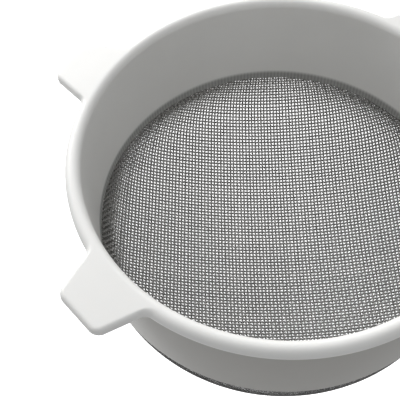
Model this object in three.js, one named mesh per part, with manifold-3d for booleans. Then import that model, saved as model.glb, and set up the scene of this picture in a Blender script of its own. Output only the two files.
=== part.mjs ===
// Double sieve strainer for pouring honey into a wide-mouthed jar.
//
// Two round sieves nest in each other. The coarse sieve is a white ring with a
// rounded lip, four flat lugs that rest on the jar's rim, and a woven steel
// bowl moulded into its lower edge. The fine sieve is a plain white cup wall
// with a finer woven bowl. It pushes up round the coarse ring's wall until it
// meets the lip, and it pulls off downwards for cleaning.
//
// Millimetres, +Z up. The origin is on the sieve's axis, in the plane of the
// jar's rim, which the undersides of the lugs lie in. The lugs stand in two
// pairs, one pair each side of the YZ plane.

import * as THREE from 'three';
import { mergeVertices } from 'three/addons/utils/BufferGeometryUtils.js';
import Module from 'manifold-3d';

const wasm = await Module();
wasm.setup();

// ---------------------------------------------------------------- dimensions

const LUG_THICKNESS = 2.4;                  // so the lip's top is this far above the jar's rim
const LIP_TOP = LUG_THICKNESS;

const LIP_RADIUS = 51.5;                    // to the middle of the lip's round section
const LIP_ROUND = 1.95;                     // half the lip's thickness

const WALL_THICKNESS = 1;
const FIT_GAP = 0.3;                        // between the two sieves, and between touching pieces

const WALL_BOTTOM = LIP_TOP - 30;           // both walls end level, and the bowls come out there
const COARSE_WALL_DRAFT = 0.5;              // how much the wall closes in from lip to bottom
const COARSE_INNER_TOP = LIP_RADIUS - LIP_ROUND;
const COARSE_INNER_BOTTOM = COARSE_INNER_TOP - COARSE_WALL_DRAFT;
const FINE_INNER_BOTTOM = COARSE_INNER_BOTTOM + WALL_THICKNESS + FIT_GAP;

const FINE_WALL_TOP = LIP_TOP - 2 * LIP_ROUND - FIT_GAP;

const COARSE_CLOTH_THICKNESS = 0.7;         // two wires, one over the other
const FINE_CLOTH_THICKNESS = 0.3;
const CLOTH_CORNER_CENTRE = 37.4;           // radius at which both bowls' corners are struck
const COARSE_CORNER_HEIGHT = LIP_TOP - 32.4;
const FINE_CORNER_HEIGHT = LIP_TOP - 34;
const DISH_EDGE_SLOPE = THREE.MathUtils.degToRad(27);

const LUG_REACH = 63.8;                     // from the axis to the lug's straight end
const LUG_ROOT = 50.4;                      // inside the lip's section, where the lug starts
const LUG_END_WIDTH = 13.6;
const LUG_ROOT_WIDTH = 21.8;
const LUG_CORNER_ROUND = 0.9;               // inside the edge round, which adds to it
const LUG_EDGE_ROUND = 0.6;
const LUG_PAIR_ANGLE = THREE.MathUtils.degToRad(72);

const ROUND_SEGMENTS = 72;                  // the same on every turned piece, so gaps stay even
const LIP_STEPS = 12;
const CORNER_STEPS = 5;
const DISH_STEPS = 5;
const LUG_CORNER_STEPS = 4;
const LUG_BEVEL_STEPS = 2;

// ----------------------------------------------------------------- materials

const plastic = (name) => new THREE.MeshStandardMaterial({
  name, color: 0xf0f0ee, roughness: 0.38, metalness: 0,
});

const steelCloth = (name, color) => new THREE.MeshStandardMaterial({
  name, color, roughness: 0.35, metalness: 1,
});

// ------------------------------------------------------------------- helpers

const point = (radius, height) => new THREE.Vector2(radius, height);

// Points along a circle's arc in the radius-height plane, both ends included.
function arc(centre, radius, startAngle, endAngle, steps) {
  const points = [];
  for (let step = 0; step <= steps; step += 1) {
    const angle = THREE.MathUtils.lerp(startAngle, endAngle, step / steps);
    points.push(point(centre.x + radius * Math.cos(angle), centre.y + radius * Math.sin(angle)));
  }
  return points;
}

// A solid turned about +Z from an outline in the radius-height plane. The
// outline runs clockwise, and turning it backwards puts its faces outwards.
function turned(outline) {
  return new THREE.LatheGeometry(outline.toReversed(), ROUND_SEGMENTS).rotateX(Math.PI / 2);
}

function toManifold(geometry) {
  const bare = geometry.clone();
  bare.deleteAttribute('normal');
  bare.deleteAttribute('uv');
  const merged = mergeVertices(bare);
  return new wasm.Manifold(new wasm.Mesh({
    numProp: 3,
    vertProperties: new Float32Array(merged.attributes.position.array),
    triVerts: new Uint32Array(merged.index.array),
  }));
}

function toGeometry(solid) {
  const mesh = solid.getMesh();
  const geometry = new THREE.BufferGeometry();
  geometry.setAttribute('position', new THREE.BufferAttribute(mesh.vertProperties, 3));
  geometry.setIndex(new THREE.BufferAttribute(mesh.triVerts, 1));
  geometry.computeVertexNormals();
  return geometry;
}

function named(name, geometry, material) {
  const mesh = new THREE.Mesh(geometry, material);
  mesh.name = name;
  return mesh;
}

// -------------------------------------------------------------- coarse sieve

// The lip's round section, then the flat step under it, the outside of the
// wall, its lower edge and the inside of the wall.
function coarseRingOutline() {
  const lipCentre = point(LIP_RADIUS, LIP_TOP - LIP_ROUND);
  const lip = arc(lipCentre, LIP_ROUND, Math.PI, -Math.PI / 2, LIP_STEPS);
  const start = lip[0];
  return [
    ...lip,
    point(COARSE_INNER_TOP + WALL_THICKNESS, LIP_TOP - 2 * LIP_ROUND),
    point(COARSE_INNER_BOTTOM + WALL_THICKNESS, WALL_BOTTOM),
    point(COARSE_INNER_BOTTOM, WALL_BOTTOM),
    start.clone(),
  ];
}

// A lug seen from above, reaching along +X: straight sides that spread towards
// the ring, and an end with rounded corners.
function lugShape() {
  const halfEnd = LUG_END_WIDTH / 2 - LUG_EDGE_ROUND;
  const halfRoot = LUG_ROOT_WIDTH / 2 - LUG_EDGE_ROUND;
  const end = LUG_REACH - LUG_EDGE_ROUND;
  const sideTurn = Math.atan2(halfRoot - halfEnd, end - LUG_ROOT);
  const side = new THREE.Vector2(Math.cos(sideTurn), -Math.sin(sideTurn)).multiplyScalar(LUG_CORNER_ROUND);
  const shape = new THREE.Shape();
  shape.moveTo(LUG_ROOT, -halfRoot);
  shape.lineTo(end - side.x, -halfEnd + side.y);
  shape.quadraticCurveTo(end, -halfEnd, end, -halfEnd + LUG_CORNER_ROUND);
  shape.lineTo(end, halfEnd - LUG_CORNER_ROUND);
  shape.quadraticCurveTo(end, halfEnd, end - side.x, halfEnd - side.y);
  shape.lineTo(LUG_ROOT, halfRoot);
  shape.closePath();
  return shape;
}

function lug(turn) {
  const geometry = new THREE.ExtrudeGeometry(lugShape(), {
    depth: LUG_THICKNESS - 2 * LUG_EDGE_ROUND,
    bevelThickness: LUG_EDGE_ROUND,
    bevelSize: LUG_EDGE_ROUND,
    bevelSegments: LUG_BEVEL_STEPS,
    curveSegments: LUG_CORNER_STEPS,
  });
  return geometry.translate(0, 0, LUG_EDGE_ROUND).rotateZ(turn);
}

function coarseRing() {
  let solid = toManifold(turned(coarseRingOutline()));
  for (const middle of [0, Math.PI]) {
    for (const side of [-1, 1]) {
      solid = solid.add(toManifold(lug(middle + side * LUG_PAIR_ANGLE / 2)));
    }
  }
  return toGeometry(solid);
}

// ---------------------------------------------------------------- fine sieve

// A plain wall that follows the coarse ring's outside at the fit's gap.
function fineRingOutline() {
  const draftPerHeight = COARSE_WALL_DRAFT / (LIP_TOP - LIP_ROUND - WALL_BOTTOM);
  const innerTop = FINE_INNER_BOTTOM + draftPerHeight * (FINE_WALL_TOP - WALL_BOTTOM);
  return [
    point(innerTop, FINE_WALL_TOP),
    point(innerTop + WALL_THICKNESS, FINE_WALL_TOP),
    point(FINE_INNER_BOTTOM + WALL_THICKNESS, WALL_BOTTOM),
    point(FINE_INNER_BOTTOM, WALL_BOTTOM),
    point(innerTop, FINE_WALL_TOP),
  ];
}

// --------------------------------------------------------------- woven bowls

// One face of a woven bowl from the axis to its rim: a shallow round dish, a
// rounded corner and a straight flank. Faces made with different corner
// rounds from the same centre are parallel.
function bowlFace(cornerRound, cornerHeight, rimHeight) {
  const corner = point(CLOTH_CORNER_CENTRE, cornerHeight);
  const centreToCorner = CLOTH_CORNER_CENTRE / Math.sin(DISH_EDGE_SLOPE);
  const dishCentre = point(0, cornerHeight + CLOTH_CORNER_CENTRE / Math.tan(DISH_EDGE_SLOPE));
  const down = -Math.PI / 2;
  const dishEdge = down + DISH_EDGE_SLOPE;
  const dish = arc(dishCentre, centreToCorner + cornerRound, down, dishEdge, DISH_STEPS);
  dish[0].x = 0;
  return [
    ...dish,
    ...arc(corner, cornerRound, dishEdge, 0, CORNER_STEPS).slice(1),
    point(CLOTH_CORNER_CENTRE + cornerRound, rimHeight),
  ];
}

function bowl(flankRadius, thickness, cornerHeight, rimHeight) {
  const middle = flankRadius - CLOTH_CORNER_CENTRE;
  const inside = bowlFace(middle - thickness / 2, cornerHeight, rimHeight);
  const outside = bowlFace(middle + thickness / 2, cornerHeight, rimHeight);
  return turned([...inside, ...outside.reverse()]);
}

const coarseClothRadius = COARSE_INNER_BOTTOM + COARSE_CLOTH_THICKNESS / 2;
const fineClothRadius = FINE_INNER_BOTTOM + FINE_CLOTH_THICKNESS / 2;

const coarseCloth = () => bowl(
  coarseClothRadius, COARSE_CLOTH_THICKNESS, COARSE_CORNER_HEIGHT, WALL_BOTTOM - FIT_GAP,
);

const fineCloth = () => bowl(
  fineClothRadius, FINE_CLOTH_THICKNESS, FINE_CORNER_HEIGHT, WALL_BOTTOM - FIT_GAP,
);

// ------------------------------------------------------------------ assembly

const coarseSieve = new THREE.Group();
coarseSieve.add(
  named('coarse_sieve_ring', coarseRing(), plastic('coarse ring plastic')),
  named('coarse_wire_cloth', coarseCloth(), steelCloth('coarse cloth steel', 0x9a9a96)),
);

const fineSieve = new THREE.Group();
fineSieve.add(
  named('fine_sieve_ring', turned(fineRingOutline()), plastic('fine ring plastic')),
  named('fine_wire_cloth', fineCloth(), steelCloth('fine cloth steel', 0x8c8c88)),
);

const strainer = new THREE.Group();
strainer.add(coarseSieve, fineSieve);

export default strainer;
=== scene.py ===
"""The looks of the double sieve strainer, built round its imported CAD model.

Both rings are made again with soft edges, and both bowls are woven from wires,
over and under, on the middle surface of the CAD model's plain bowls.
Metres, +Z up, origin on the sieve's axis in the plane of the jar's rim.
"""

import math
from typing import NamedTuple

import bmesh
import bpy
import numpy as np
from mathutils import Matrix, Vector


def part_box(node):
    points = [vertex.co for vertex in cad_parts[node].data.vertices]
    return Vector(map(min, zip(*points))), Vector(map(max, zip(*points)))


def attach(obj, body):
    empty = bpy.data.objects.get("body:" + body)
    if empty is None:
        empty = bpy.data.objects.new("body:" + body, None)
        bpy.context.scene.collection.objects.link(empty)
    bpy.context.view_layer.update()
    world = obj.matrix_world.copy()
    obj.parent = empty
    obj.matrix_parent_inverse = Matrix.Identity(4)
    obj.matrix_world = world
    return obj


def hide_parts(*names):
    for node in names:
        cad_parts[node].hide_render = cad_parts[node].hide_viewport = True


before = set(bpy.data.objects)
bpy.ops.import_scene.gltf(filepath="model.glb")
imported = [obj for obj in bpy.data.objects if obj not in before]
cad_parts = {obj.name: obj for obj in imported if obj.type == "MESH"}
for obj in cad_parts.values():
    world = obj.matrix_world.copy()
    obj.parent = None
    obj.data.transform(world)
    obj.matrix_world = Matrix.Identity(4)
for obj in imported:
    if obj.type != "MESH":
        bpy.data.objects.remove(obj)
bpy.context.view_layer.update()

MM = 0.001
rng = np.random.default_rng(7)

# ------------------------------------------------------------ sizes and places

ring_low, ring_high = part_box("coarse_sieve_ring")
fine_ring_low, fine_ring_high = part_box("fine_sieve_ring")
_, coarse_cloth_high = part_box("coarse_wire_cloth")
_, fine_cloth_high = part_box("fine_wire_cloth")

LIP_TOP = ring_high.z
LIP_ROUND = 1.95 * MM
LIP_RADIUS = 51.5 * MM                    # to the middle of the lip's round section
LIP_MIDDLE = LIP_TOP - LIP_ROUND
LIP_EDGE = LIP_RADIUS + LIP_ROUND

WALL = 1.0 * MM
WALL_DRAFT = 0.5 * MM                     # how much the wall closes in from lip to bottom
COARSE_WALL_BOTTOM = ring_low.z
COARSE_INNER_TOP = LIP_RADIUS - LIP_ROUND
COARSE_INNER_BOTTOM = COARSE_INNER_TOP - WALL_DRAFT
CLOTH_BEAD = 0.12 * MM                    # the wall is this much thicker where it holds the cloth
CLOTH_BEAD_HEIGHT = 1.6 * MM
CLOTH_BEAD_FADE = 0.3                     # share of that height at which the bead starts to thin
WALL_ROOT_ROUND = 0.35 * MM               # where the wall's outside runs into the lip
WALL_EDGE_ROUND = 0.22 * MM

FINE_WALL_TOP = fine_ring_high.z
FINE_WALL_BOTTOM = fine_ring_low.z
FINE_EDGE_ROUND = 0.2 * MM
FIT_GAP = 0.3 * MM

LUG_REACH = 63.8 * MM
LUG_ROOT = 50.4 * MM
LUG_HALF_END = 13.6 / 2 * MM
LUG_HALF_ROOT = 21.8 / 2 * MM
LUG_CORNER = 2.0 * MM
LUG_FILLET = 1.3 * MM                     # in plan, where a lug's side runs into the lip
LUG_TOP_ROUND = 1.2 * MM
LUG_BOTTOM_ROUND = 0.4 * MM
LUG_ANGLES = [math.radians(angle) for angle in (36, 144, 216, 324)]
LUG_BLEND = (0.02 * MM, 3 * MM)           # past the lip's edge, where its section turns into a lug's

CORNER_CENTRE = 37.4 * MM                 # radius at which both bowls' corners are struck
DISH_SLOPE = math.radians(27)
COARSE_CORNER_HEIGHT = LIP_TOP - 32.4 * MM
FINE_CORNER_HEIGHT = LIP_TOP - 34 * MM
COARSE_CLOTH = 0.7 * MM                   # thickness of the CAD model's plain bowls
FINE_CLOTH = 0.3 * MM
COARSE_CLOTH_HELD = 0.6 * MM              # how far the wires reach up into the walls
FINE_CLOTH_HELD = 0.5 * MM
COARSE_WEAVE_TURN = math.radians(-6.4)
FINE_WEAVE_TURN = math.radians(17)        # the fine sieve goes on at any angle


class Weave(NamedTuple):
    """How a cloth is woven, and how finely its wires are drawn."""

    pitch: float
    wire: float                           # a wire's thickness
    steps: int                            # rings of points along one pitch
    sides: int                            # points round a wire


COARSE_WEAVE = Weave(pitch=1.05 * MM, wire=0.49 * MM, steps=4, sides=6)
FINE_WEAVE = Weave(pitch=0.42 * MM, wire=0.1 * MM, steps=1, sides=3)
CLOTH_BANDS = 4                           # pieces for each way of a cloth, so none is too heavy
WIRE_JITTER = 0.008                       # of the pitch, from wire to wire
WIRE_SWAY = 0.012                         # of the pitch, along one wire
SWAY_PITCHES = 9                          # along a wire for each radian of its sway

# ---------------------------------------------------------- how finely it is cut

SAME_POINT = 0.0002 * MM                  # points closer than this are joined
LUG_NEAR = math.radians(17)               # each side of a lug's middle, where steps are fine
FINE_TURN = math.radians(0.3)
WIDE_TURN = math.radians(1.25)
TURNED_STEPS = 288
EDGE_SEARCH_INSIDE = 0.2 * MM             # the edge is looked for from here inside the lip's edge
EDGE_SEARCH_OUTSIDE = 4 * MM              # to here outside a lug's reach, by halving
EDGE_HALVINGS = 40
TOP_POINTS = 27
TOP_CROWDING = 1.6                        # over 1 draws the points together at the edge
UNDER_POINTS = 21
UNDER_CROWDING = 0.7                      # under 1 draws the points together at the edge
SIDE_POINTS = 3
WALL_STEPS = 8
BEAD_STEPS = 6
ROUND_STEPS = 4
LIP_STEPS = 14


# -------------------------------------------------------------- mesh helpers

def new_piece(name, vertices, faces, materials, slots=None):
    """A smooth-shaded mesh object from points and face arrays, one array for each number of corners."""
    corners = np.concatenate([group.ravel() for group in faces]).astype(np.int32)
    sizes = np.concatenate([np.full(len(group), group.shape[1]) for group in faces])
    starts = (np.cumsum(sizes) - sizes).astype(np.int32)
    mesh = bpy.data.meshes.new(name)
    mesh.vertices.add(len(vertices))
    mesh.vertices.foreach_set("co", np.asarray(vertices, np.float32).ravel())
    mesh.loops.add(len(corners))
    mesh.loops.foreach_set("vertex_index", corners)
    mesh.polygons.add(len(sizes))
    mesh.polygons.foreach_set("loop_start", starts)
    if slots is not None:
        mesh.polygons.foreach_set("material_index", slots.astype(np.int32))
    mesh.update(calc_edges=True)
    mesh.shade_smooth()
    for finish in materials:
        mesh.materials.append(finish)
    piece = bpy.data.objects.new(name, mesh)
    bpy.context.scene.collection.objects.link(piece)
    return piece


def clean(piece):
    """Joins doubled points, drops faces with no area and turns all faces outwards."""
    work = bmesh.new()
    work.from_mesh(piece.data)
    bmesh.ops.remove_doubles(work, verts=work.verts, dist=SAME_POINT)
    bmesh.ops.dissolve_degenerate(work, edges=work.edges, dist=SAME_POINT)
    bmesh.ops.recalc_face_normals(work, faces=work.faces)
    work.to_mesh(piece.data)
    work.free()
    piece.data.shade_smooth()
    return piece


def ring_grid(rows, columns):
    """Faces of a grid that closes both ways."""
    row = np.arange(rows)[:, None]
    column = np.arange(columns)[None, :]
    next_row = (row + 1) % rows
    next_column = (column + 1) % columns
    corners = (row * columns + column, next_row * columns + column,
               next_row * columns + next_column, row * columns + next_column)
    return np.stack(corners, -1).reshape(-1, 4)


def arc(centre, radius, start, end, steps):
    """Points of an arc in the radius-height plane, both ends included."""
    angle = np.linspace(start, end, steps + 1)
    return np.stack([centre[0] + radius * np.cos(angle), centre[1] + radius * np.sin(angle)], -1)


def line(start, end, steps):
    """Points from start towards end, without the end."""
    share = np.arange(steps)[:, None] / steps
    return np.array(start) * (1 - share) + np.array(end) * share


def around(turn, radius, height):
    """Points in space from angles about the axis, radii and heights."""
    return np.stack([radius * np.cos(turn), radius * np.sin(turn), height], -1).reshape(-1, 3)


def smooth_step(value, low, high):
    """0 below low, 1 above high and an even S between."""
    share = np.clip((value - low) / (high - low), 0, 1)
    return share * share * (3 - 2 * share)


def mix(a, b, share):
    return a * (1 - share) + b * share


# ---------------------------------------------------------------- node helpers

def material(name):
    made = bpy.data.materials.new(name)
    made.use_nodes = True
    return made, made.node_tree, made.node_tree.nodes["Principled BSDF"]


def coordinates(tree, kind):
    return tree.nodes.new("ShaderNodeTexCoord").outputs[kind]


def separated(tree, vector):
    """A vector's X, Y and Z sockets."""
    axes = tree.nodes.new("ShaderNodeSeparateXYZ")
    tree.links.new(vector, axes.inputs["Vector"])
    return axes.outputs


def noise(tree, vector, scale, detail, roughness=0.5):
    node = tree.nodes.new("ShaderNodeTexNoise")
    node.inputs["Scale"].default_value = scale
    node.inputs["Detail"].default_value = detail
    node.inputs["Roughness"].default_value = roughness
    tree.links.new(vector, node.inputs["Vector"])
    return node.outputs["Fac"]


def map_range(tree, value, before=(0, 1), after=(0, 1), smooth=False):
    """Maps a value from one range to another and holds it at both ends."""
    node = tree.nodes.new("ShaderNodeMapRange")
    if smooth:
        node.interpolation_type = "SMOOTHSTEP"
    for socket, number in zip(("From Min", "From Max", "To Min", "To Max"), (*before, *after)):
        node.inputs[socket].default_value = number
    tree.links.new(value, node.inputs["Value"])
    return node.outputs["Result"]


def maths(tree, operation, *values):
    """A Math node's result from sockets and numbers."""
    node = tree.nodes.new("ShaderNodeMath")
    node.operation = operation
    for socket, value in zip(node.inputs, values):
        if isinstance(value, bpy.types.NodeSocket):
            tree.links.new(value, socket)
        else:
            socket.default_value = value
    return node.outputs["Value"]


# ------------------------------------------------------------------- materials

# Scales are per metre. The colours are the light and the dark parts of the cloudiness.
COARSE_PLASTIC = ((0.9, 0.892, 0.868), (0.87, 0.862, 0.838))
# The fine ring's colours are its white plastic painted grey: painted shade for its outside wall.
FINE_PLASTIC_PAINTED_SHADE = ((0.5, 0.485, 0.455), (0.47, 0.455, 0.425))
CLOUD_SCALE = 38
CLOUD_DETAIL = 4
CLOUD_BREAKUP = 0.55
CLOUD_DARK_TO = 0.3
CLOUD_LIGHT_FROM = 0.62
PLASTIC_ROUGHNESS = (0.38, 0.5)
PLASTIC_IOR = 1.49
PLASTIC_GLOW_THROUGH = 0.12               # share of the light that scatters inside
GLOW_THROUGH_COLOUR = (1.0, 0.95, 0.9)
GLOW_THROUGH_DEPTH = 1.5 * MM
SKIN_SCALE = 2600
SKIN_DETAIL = 3
SKIN_STRENGTH = 0.12
SKIN_DEPTH = 0.04 * MM

# Dark colour for the wall's foot: partly the moulded-in cloth showing through, partly painted shade.
CLOTH_THROUGH_PLASTIC_AND_PAINTED_SHADE = (0.3, 0.3, 0.29)
CLOTH_HIDDEN_ABOVE = 3.6 * MM             # heights above the wall's lower edge
CLOTH_PLAIN_BELOW = 1.8 * MM
RIB_FADE = 0.8                            # share of the darkening that is left between two ribs

STEEL_TINT = (1, 0.985, 0.95)
STEEL_FINISHES = ((1.0, 0.30), (0.86, 0.36), (1.12, 0.26))     # brightness and roughness
COARSE_STEEL_SHADE = 0.36
# The fine wires' steel is painted darker than the coarse: painted shade for the dark band of fine cloth under
# the wall.
FINE_STEEL_PAINTED_SHADE = 0.18


def moulded_plastic(name, light, dark):
    """Moulded polypropylene: faint cloudiness, a fine moulded skin and soft gloss."""
    made, tree, shader = material(name)
    place = coordinates(tree, "Object")

    cloud = noise(tree, place, CLOUD_SCALE, CLOUD_DETAIL, CLOUD_BREAKUP)
    tint = tree.nodes.new("ShaderNodeValToRGB")
    tint.color_ramp.elements[0].position = CLOUD_DARK_TO
    tint.color_ramp.elements[0].color = (*dark, 1)
    tint.color_ramp.elements[1].position = CLOUD_LIGHT_FROM
    tint.color_ramp.elements[1].color = (*light, 1)
    tree.links.new(cloud, tint.inputs["Fac"])
    tree.links.new(tint.outputs["Color"], shader.inputs["Base Color"])
    tree.links.new(map_range(tree, cloud, after=PLASTIC_ROUGHNESS), shader.inputs["Roughness"])

    bump = tree.nodes.new("ShaderNodeBump")
    bump.inputs["Strength"].default_value = SKIN_STRENGTH
    bump.inputs["Distance"].default_value = SKIN_DEPTH
    tree.links.new(noise(tree, place, SKIN_SCALE, SKIN_DETAIL), bump.inputs["Height"])
    tree.links.new(bump.outputs["Normal"], shader.inputs["Normal"])

    shader.inputs["IOR"].default_value = PLASTIC_IOR
    shader.inputs["Subsurface Weight"].default_value = PLASTIC_GLOW_THROUGH
    shader.inputs["Subsurface Radius"].default_value = GLOW_THROUGH_COLOUR
    shader.inputs["Subsurface Scale"].default_value = GLOW_THROUGH_DEPTH
    return made


def show_moulded_in_cloth_and_painted_shade(plastic):
    """Darkens the lowest part of the wall: the cloth's edge showing through the plastic, and painted shade
    where the wall meets the cloth.
    """
    tree = plastic.node_tree
    shader = tree.nodes["Principled BSDF"]
    plain = shader.inputs["Base Color"].links[0].from_socket
    axes = separated(tree, coordinates(tree, "Object"))
    heights = (COARSE_WALL_BOTTOM + CLOTH_HIDDEN_ABOVE, COARSE_WALL_BOTTOM + CLOTH_PLAIN_BELOW)
    # Mask of the painted shade and the moulded-in cloth at the wall's foot.
    cloth_and_shade_mask = map_range(tree, axes["Z"], heights, smooth=True)

    # The cloth's upright wires show as faint ribs, one each pitch round the wall.
    count = round(2 * math.pi * COARSE_INNER_BOTTOM / COARSE_WEAVE.pitch)
    turn = maths(tree, "ARCTAN2", axes["Y"], axes["X"])
    wave = maths(tree, "SINE", maths(tree, "MULTIPLY", turn, count))
    ribs = map_range(tree, wave, (-1, 1), (RIB_FADE, 1))

    blend = tree.nodes.new("ShaderNodeMixRGB")
    blend.inputs["Color2"].default_value = (*CLOTH_THROUGH_PLASTIC_AND_PAINTED_SHADE, 1)
    tree.links.new(maths(tree, "MULTIPLY", cloth_and_shade_mask, ribs), blend.inputs["Fac"])
    tree.links.new(plain, blend.inputs["Color1"])
    tree.links.new(blend.outputs["Color"], shader.inputs["Base Color"])


def drawn_steel(name, colour, roughness):
    made, _, shader = material(name)
    shader.inputs["Base Color"].default_value = (*colour, 1)
    shader.inputs["Metallic"].default_value = 1
    shader.inputs["Roughness"].default_value = roughness
    return made


def steel_set(name, shade):
    """Three finishes of one wire, so that neighbouring wires differ a little."""
    return [
        drawn_steel(f"{name} {number}", [shade * bright * part for part in STEEL_TINT], roughness)
        for number, (bright, roughness) in enumerate(STEEL_FINISHES, 1)
    ]


# ----------------------------------------------------------------- coarse ring

def lug_distance(x, y):
    """Distance outside a lug's outline in plan, for a lug that reaches along +X."""
    slant = math.atan2(LUG_HALF_ROOT - LUG_HALF_END, LUG_REACH - LUG_ROOT)
    side = (np.abs(y) - LUG_HALF_END) * math.cos(slant) + (x - LUG_REACH) * math.sin(slant)
    end = x - LUG_REACH
    side = side + LUG_CORNER
    end = end + LUG_CORNER
    corner = np.hypot(np.maximum(side, 0), np.maximum(end, 0))
    return corner + np.minimum(np.maximum(side, end), 0) - LUG_CORNER


def plan_distance(radius, angle):
    """Distance outside the lip and lugs together, in plan, with filleted inner corners."""
    far = 1.0
    lip = radius - LIP_EDGE
    lugs = np.full(np.broadcast(radius, angle).shape, far)
    for turn in LUG_ANGLES:
        x = radius * np.cos(angle - turn)
        y = radius * np.sin(angle - turn)
        lugs = np.minimum(lugs, np.where(x > 0, lug_distance(x, y), far))
    fillet = np.hypot(np.maximum(LUG_FILLET - lip, 0), np.maximum(LUG_FILLET - lugs, 0))
    return np.maximum(LUG_FILLET, np.minimum(lip, lugs)) - fillet


def edge_radius(angle):
    """How far out the lip or lug reaches at each angle, found by halving."""
    low = np.full(angle.shape, LIP_EDGE - EDGE_SEARCH_INSIDE)
    high = np.full(angle.shape, LUG_REACH + EDGE_SEARCH_OUTSIDE)
    for _ in range(EDGE_HALVINGS):
        middle = (low + high) / 2
        inside = plan_distance(middle, angle) < 0
        low = np.where(inside, middle, low)
        high = np.where(inside, high, middle)
    return (low + high) / 2


def ring_angles():
    """Angles round the ring: close together over the lugs and wider between them."""
    angles = []
    for turn, following in zip(LUG_ANGLES, LUG_ANGLES[1:] + [LUG_ANGLES[0] + 2 * math.pi]):
        angles.append(np.arange(turn - LUG_NEAR, turn + LUG_NEAR, FINE_TURN))
        start = angles[-1][-1] + FINE_TURN
        gap = following - LUG_NEAR - start
        angles.append(np.linspace(start, start + gap, max(2, round(gap / WIDE_TURN)), endpoint=False))
    return np.concatenate(angles)


def quarter_drop(inside, round_):
    """How far a rounded edge has dropped at a distance inside its outline."""
    into = np.clip(round_ - inside, 0, round_)
    return round_ - np.sqrt(np.maximum(round_ ** 2 - into ** 2, 0))


def ring_top(turn, edge, over_lug):
    """Radii and heights across the top, from the lip's crown out to the edge."""
    out = 1 - (1 - np.linspace(0, 1, TOP_POINTS)) ** TOP_CROWDING
    radius = mix(LIP_RADIUS, edge, out[None, :])
    inside = np.maximum(-plan_distance(radius, turn), 0)
    inside[:, -1] = 0
    height = LIP_TOP - quarter_drop(inside, mix(LIP_ROUND, LUG_TOP_ROUND, over_lug))
    return radius, height


def ring_underside(turn, edge, over_lug):
    """Radii and heights back underneath, from the edge to the middle of the lip's section."""
    back = np.linspace(1, 0, UNDER_POINTS)[None, :] ** UNDER_CROWDING
    radius = mix(LIP_RADIUS, edge, back)
    inside = np.maximum(-plan_distance(radius, turn), 0)
    inside[:, 0] = 0
    from_middle = np.clip(radius - LIP_RADIUS, 0, LIP_ROUND)
    lip_under = LIP_MIDDLE - np.sqrt(LIP_ROUND ** 2 - from_middle ** 2)
    lug_under = np.minimum(lip_under, quarter_drop(inside, LUG_BOTTOM_ROUND))
    return radius, mix(lip_under, lug_under, over_lug)


def wall_outside():
    """From the lip's underside down the wall's outside and round its lower edge."""
    clear = 0.1 * MM                      # of the underside's last point, so that no two are alike
    lip_bottom = LIP_TOP - 2 * LIP_ROUND
    top = COARSE_INNER_TOP + WALL
    bottom = COARSE_INNER_BOTTOM + WALL
    held = COARSE_INNER_BOTTOM - CLOTH_BEAD
    root = WALL_ROOT_ROUND
    edge = WALL_EDGE_ROUND
    low = COARSE_WALL_BOTTOM + edge
    return np.concatenate([
        line((LIP_RADIUS - clear, lip_bottom), (top + root, lip_bottom), 2),
        arc((top + root, lip_bottom - root), root, math.pi / 2, math.pi, ROUND_STEPS)[:-1],
        line((top, lip_bottom - root), (bottom, low), WALL_STEPS),
        arc((bottom - edge, low), edge, 0, -math.pi / 2, ROUND_STEPS),
        arc((held + edge, low), edge, -math.pi / 2, -math.pi, ROUND_STEPS),
    ])


def wall_inside():
    """Over the bead that holds the cloth, up the wall's inside and on to the lip's crown."""
    low = COARSE_WALL_BOTTOM + WALL_EDGE_ROUND
    bead_top = COARSE_WALL_BOTTOM + CLOTH_BEAD_HEIGHT
    rise = np.linspace(0, 1, BEAD_STEPS + 1)[1:]
    bead = np.stack([
        COARSE_INNER_BOTTOM - CLOTH_BEAD * (1 - smooth_step(rise, CLOTH_BEAD_FADE, 1)),
        mix(low, bead_top, rise),
    ], -1)
    return np.concatenate([
        bead,
        line((COARSE_INNER_BOTTOM, bead_top), (COARSE_INNER_TOP, LIP_MIDDLE), WALL_STEPS + 1)[1:],
        arc((LIP_RADIUS, LIP_MIDDLE), LIP_ROUND, math.pi, math.pi / 2, LIP_STEPS)[:-1],
    ])


def coarse_ring(plastic):
    """The coarse sieve's moulding, as one closed section that changes on its way round."""
    angles = ring_angles()
    turn = angles[:, None]
    edge = edge_radius(angles)[:, None]
    blend_start, blend_end = LUG_BLEND
    over_lug = smooth_step(edge, LIP_EDGE + blend_start, LIP_EDGE + blend_end)

    top_radius, top_height = ring_top(turn, edge, over_lug)
    low_radius, low_height = ring_underside(turn, edge, over_lug)
    share = np.linspace(0, 1, SIDE_POINTS + 2)[None, 1:-1]
    side_radius = np.broadcast_to(edge, (len(angles), SIDE_POINTS))
    side_height = mix(top_height[:, -1:], low_height[:, :1], share)

    # The rest of the section is the same all round.
    wall = np.concatenate([wall_outside(), wall_inside()])
    wall_radius = np.broadcast_to(wall[:, 0], (len(angles), len(wall)))
    wall_height = np.broadcast_to(wall[:, 1], (len(angles), len(wall)))

    radius = np.concatenate([top_radius, side_radius, low_radius, wall_radius], 1)
    height = np.concatenate([top_height, side_height, low_height, wall_height], 1)
    faces = [ring_grid(*radius.shape)]
    piece = clean(new_piece("coarse_ring_moulding", around(turn, radius, height), faces, [plastic]))
    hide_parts("coarse_sieve_ring")
    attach(piece, "coarse_sieve")


# ------------------------------------------------------------------- fine ring

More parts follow.
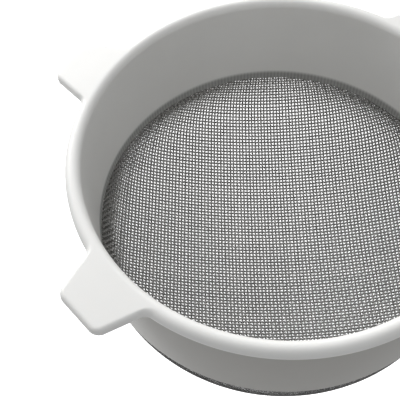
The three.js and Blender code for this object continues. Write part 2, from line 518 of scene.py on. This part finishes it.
def rounded_outline(corners, rounding):
    """A closed outline with each corner rounded, in the radius-height plane."""
    most = 0.45                           # share of a side that one corner's round may take
    corners = np.array(corners)
    points = []
    for before, corner, after in zip(np.roll(corners, 1, 0), corners, np.roll(corners, -1, 0)):
        reach = [min(rounding, np.linalg.norm(side - corner) * most) for side in (before, after)]
        start = corner + (before - corner) / np.linalg.norm(before - corner) * reach[0]
        end = corner + (after - corner) / np.linalg.norm(after - corner) * reach[1]
        for share in np.linspace(0, 1, ROUND_STEPS + 1):
            points.append(mix(mix(start, corner, share), mix(corner, end, share), share))
    return np.array(points)


def turned(name, outline, materials):
    """A closed outline in the radius-height plane, turned about the axis."""
    turn = np.linspace(0, 2 * math.pi, TURNED_STEPS, endpoint=False)[:, None]
    radius = outline[None, :, 0]
    height = np.broadcast_to(outline[None, :, 1], (TURNED_STEPS, len(outline)))
    faces = [ring_grid(TURNED_STEPS, len(outline))]
    return clean(new_piece(name, around(turn, radius, height), faces, materials))


def fine_ring(plastic):
    """The fine sieve's plain wall, which follows the coarse wall's outside at the fit's gap."""
    draft = WALL_DRAFT / (LIP_MIDDLE - COARSE_WALL_BOTTOM)
    inside = COARSE_INNER_BOTTOM + WALL + FIT_GAP
    top = inside + draft * (FINE_WALL_TOP - COARSE_WALL_BOTTOM)
    bottom = inside + draft * (FINE_WALL_BOTTOM - COARSE_WALL_BOTTOM)
    outline = rounded_outline([
        (top, FINE_WALL_TOP),
        (top + WALL, FINE_WALL_TOP),
        (bottom + WALL, FINE_WALL_BOTTOM),
        (bottom, FINE_WALL_BOTTOM),
    ], FINE_EDGE_ROUND)
    piece = turned("fine_ring_moulding", outline, [plastic])
    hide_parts("fine_sieve_ring")
    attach(piece, "fine_sieve")


# ----------------------------------------------------------------- woven bowls

class Bowl:
    """The middle surface of a pressed cloth: a shallow dish, a round corner and a straight flank."""

    def __init__(self, flank, corner_height, rim, weave_turn):
        self.weave_turn = weave_turn
        self.corner = flank - CORNER_CENTRE
        self.corner_height = corner_height
        self.dish = CORNER_CENTRE / math.sin(DISH_SLOPE) + self.corner
        self.dish_centre = corner_height + CORNER_CENTRE / math.tan(DISH_SLOPE)
        self.dish_length = self.dish * DISH_SLOPE
        self.corner_end = self.dish_length + self.corner * (math.pi / 2 - DISH_SLOPE)
        self.length = self.corner_end + rim - corner_height

    def at(self, across, along):
        """Point and upward normal where a flat cloth's point ends up when it is pressed."""
        distance = np.hypot(across, along)
        angle = np.arctan2(along, across) + self.weave_turn
        in_dish = np.minimum(distance, self.dish_length) / self.dish
        past = np.clip(distance - self.dish_length, 0, self.corner_end - self.dish_length)
        slope = in_dish + past / self.corner
        up = np.maximum(distance - self.corner_end, 0)
        dish = distance <= self.dish_length
        radius = np.where(dish, self.dish * np.sin(slope), CORNER_CENTRE + self.corner * np.sin(slope))
        height = np.where(dish, self.dish_centre - self.dish * np.cos(slope),
                          self.corner_height - self.corner * np.cos(slope)) + up
        point = np.stack([radius * np.cos(angle), radius * np.sin(angle), height], -1)
        normal = np.stack([-np.sin(slope) * np.cos(angle), -np.sin(slope) * np.sin(angle), np.cos(slope)], -1)
        return point, normal


def unit(vectors):
    shortest = 1e-12
    return vectors / np.maximum(np.linalg.norm(vectors, axis=-1, keepdims=True), shortest)


def wire(bowl, weave, number, weft):
    """Points of one wire's skin, ring by ring, or None where it misses the cloth."""
    pitch = weave.pitch
    offset = number * pitch + rng.normal(0, WIRE_JITTER) * pitch
    reach = math.sqrt(max(bowl.length ** 2 - offset ** 2, 0))
    count = int(2 * reach / pitch * weave.steps)
    if count < 2 * weave.steps:
        return None
    along = np.linspace(-reach, reach, count + 1)
    sway = WIRE_SWAY * pitch * np.sin(along / (SWAY_PITCHES * pitch) + rng.uniform(0, 2 * math.pi))
    side = offset + sway
    point, normal = bowl.at(along, side) if weft else bowl.at(side, along)
    wave = weave.wire / 2 * np.cos(math.pi * (along / pitch + number + (1 if weft else 0)))
    centre = point + normal * wave[:, None]
    forward = unit(np.gradient(centre, axis=0))
    across = unit(np.cross(forward, normal))
    above = np.cross(across, forward)
    turn = np.linspace(0, 2 * math.pi, weave.sides, endpoint=False)
    ring = np.cos(turn)[None, :, None] * above[:, None] + np.sin(turn)[None, :, None] * across[:, None]
    return centre[:, None] + ring * weave.wire / 2


def skins(bowl, weave, numbers, weft):
    """The skins of all the wires in a band that cross the cloth."""
    made = [wire(bowl, weave, number, weft) for number in numbers]
    return [skin for skin in made if skin is not None]


def woven_piece(name, wires, sides, steels):
    """One mesh of many separate closed wires, each in one of the steel finishes."""
    column = np.arange(sides)
    following = (column + 1) % sides
    points, quads, caps, quad_slots, cap_slots = [], [], [], [], []
    total = 0
    for skin in wires:
        rings = len(skin)
        row = np.arange(rings - 1)[:, None] * sides
        corners = (row + column, row + following, row + sides + following, row + sides + column)
        quads.append(np.stack(corners, -1).reshape(-1, 4) + total)
        caps.append(np.stack([column[::-1], column + (rings - 1) * sides]) + total)
        finish = rng.integers(len(steels))
        quad_slots.append(np.full(len(quads[-1]), finish))
        cap_slots.append(np.full(2, finish))
        points.append(skin.reshape(-1, 3))
        total += rings * sides
    faces = [np.concatenate(quads), np.concatenate(caps)]
    return new_piece(name, np.concatenate(points), faces, steels, np.concatenate(quad_slots + cap_slots))


def cloth(name, bowl, weave, steels, node, body):
    """Wires both ways over a bowl, in bands."""
    furthest = int(bowl.length / weave.pitch)
    numbers = np.arange(-furthest, furthest + 1)
    for weft, way in ((False, "warp"), (True, "weft")):
        for band, members in enumerate(np.array_split(numbers, CLOTH_BANDS), 1):
            wires = skins(bowl, weave, members, weft)
            piece = woven_piece(f"{name}_{way}_{band}", wires, weave.sides, steels)
            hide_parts(node)
            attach(piece, body)


# ------------------------------------------------------- floor, light, camera

FLOOR_HALF = 4.0
FLOOR_HEIGHT = -0.22
FLOOR_GREY = 0.65
FLOOR_ROUGHNESS = 0.9
FLOOR_GLOSS = 0.1
GLOW_CENTRE = (-0.02, 0.2)
GLOW_FADE = (0.2, 0.28)                   # radii at which the glow starts and ends its fade

SOFTBOX_PLACE = (-0.2, 0.5, 0.26)
SOFTBOX_SIZE = (0.7, 0.3)
SOFTBOX_POWER = 4.0
SKY_RISE = (0.15, 0.9)                    # upward share of the direction, from dim to bright
SKY_STRENGTH = (0.18, 0.72)
SKY_COLOUR = (0.97, 0.985, 1.0)

CAMERA_ELEVATION = math.radians(57.4)
CAMERA_AZIMUTH = math.radians(-2.6)
CAMERA_ROLL = math.radians(4.72)
CAMERA_DISTANCE = 3.4266 * LIP_RADIUS
CAMERA_LENS = 65.25
CAMERA_CLIP_START = 0.01
RING_ASIDE = 0.3894 * LIP_RADIUS          # of the ring's centre from the view's middle
RING_ABOVE = 0.2582 * LIP_RADIUS


def floor_stage():
    """A plain pale floor well below the sieve.

    It is a light table: it glows behind the sieve and fades to a plain pale floor further out.
    """
    mesh = bpy.data.meshes.new("floor")
    half = FLOOR_HALF
    corners = [(x, y, FLOOR_HEIGHT) for x, y in ((-half, -half), (half, -half), (half, half), (-half, half))]
    mesh.from_pydata(corners, [], [(0, 1, 2, 3)])
    floor = bpy.data.objects.new("floor", mesh)
    bpy.context.scene.collection.objects.link(floor)
    made, tree, shader = material("floor paint")
    shader.inputs["Base Color"].default_value = (FLOOR_GREY, FLOOR_GREY, FLOOR_GREY, 1)
    shader.inputs["Roughness"].default_value = FLOOR_ROUGHNESS
    shader.inputs["Specular IOR Level"].default_value = FLOOR_GLOSS
    flat = tree.nodes.new("ShaderNodeVectorMath")
    flat.operation = "MULTIPLY_ADD"
    flat.inputs[1].default_value = (1, 1, 0)
    flat.inputs[2].default_value = (-GLOW_CENTRE[0], -GLOW_CENTRE[1], 0)
    distance = tree.nodes.new("ShaderNodeVectorMath")
    distance.operation = "LENGTH"
    tree.links.new(coordinates(tree, "Object"), flat.inputs[0])
    tree.links.new(flat.outputs["Vector"], distance.inputs[0])
    glow = map_range(tree, distance.outputs["Value"], GLOW_FADE, (1, 0), smooth=True)
    shader.inputs["Emission Color"].default_value = (1, 1, 1, 1)
    tree.links.new(glow, shader.inputs["Emission Strength"])
    mesh.materials.append(made)


def area_light(name, place, target, size, power):
    data = bpy.data.lights.new(name, "AREA")
    data.shape = "RECTANGLE"
    data.size, data.size_y = size
    data.energy = power
    lamp = bpy.data.objects.new(name, data)
    bpy.context.scene.collection.objects.link(lamp)
    lamp.location = place
    lamp.rotation_mode = "QUATERNION"
    lamp.rotation_quaternion = (Vector(target) - Vector(place)).to_track_quat("-Z", "Y")


def studio_light():
    """A soft light behind the sieve, and an overhead glow that fades towards the horizon."""
    area_light("back softbox", SOFTBOX_PLACE, (0, 0, 0), SOFTBOX_SIZE, SOFTBOX_POWER)
    world = bpy.data.worlds.new("studio")
    world.use_nodes = True
    tree = world.node_tree
    background = tree.nodes["Background"]
    axes = separated(tree, coordinates(tree, "Generated"))
    glow = map_range(tree, axes["Z"], SKY_RISE, SKY_STRENGTH, smooth=True)
    tree.links.new(glow, background.inputs["Strength"])
    background.inputs["Color"].default_value = (*SKY_COLOUR, 1)
    bpy.context.scene.world = world
    bpy.context.scene.view_settings.view_transform = "Standard"


def camera():
    """Looks down into the sieve from in front, with the ring's centre right of and above the middle."""
    view = Matrix.Rotation(CAMERA_AZIMUTH, 3, "Z")
    forward = view @ Vector((0, math.cos(CAMERA_ELEVATION), -math.sin(CAMERA_ELEVATION)))
    level = view @ Vector((1, 0, 0))
    lifted = level.cross(forward)
    right = level * math.cos(CAMERA_ROLL) - lifted * math.sin(CAMERA_ROLL)
    up = level * math.sin(CAMERA_ROLL) + lifted * math.cos(CAMERA_ROLL)
    data = bpy.data.cameras.new("camera")
    data.lens = CAMERA_LENS
    data.clip_start = CAMERA_CLIP_START
    eye = bpy.data.objects.new("camera", data)
    bpy.context.scene.collection.objects.link(eye)
    turn = Matrix((right, up, -forward)).transposed()
    place = Vector((0, 0, LIP_TOP)) - right * RING_ASIDE - up * RING_ABOVE - forward * CAMERA_DISTANCE
    eye.matrix_world = Matrix.Translation(place) @ turn.to_4x4()
    bpy.context.scene.camera = eye


# ------------------------------------------------------------------- assembly

camera()
studio_light()
floor_stage()

coarse_plastic = moulded_plastic("coarse ring plastic", *COARSE_PLASTIC)
# Paints shade, together with the moulded-in cloth, on the lowest part of the coarse wall.
show_moulded_in_cloth_and_painted_shade(coarse_plastic)
coarse_ring(coarse_plastic)
# The fine ring's plastic is painted grey as painted shade.
fine_ring(moulded_plastic("fine ring plastic", *FINE_PLASTIC_PAINTED_SHADE))

coarse_bowl = Bowl(coarse_cloth_high.x - COARSE_CLOTH / 2, COARSE_CORNER_HEIGHT,
                   COARSE_WALL_BOTTOM + COARSE_CLOTH_HELD, COARSE_WEAVE_TURN)
cloth("coarse_wires", coarse_bowl, COARSE_WEAVE, steel_set("coarse steel", COARSE_STEEL_SHADE),
      "coarse_wire_cloth", "coarse_sieve")

fine_bowl = Bowl(fine_cloth_high.x - FINE_CLOTH / 2, FINE_CORNER_HEIGHT,
                 FINE_WALL_BOTTOM + FINE_CLOTH_HELD, FINE_WEAVE_TURN)
# The fine wires get the darkened steel: painted shade.
cloth("fine_wires", fine_bowl, FINE_WEAVE, steel_set("fine steel painted shade", FINE_STEEL_PAINTED_SHADE),
      "fine_wire_cloth", "fine_sieve")
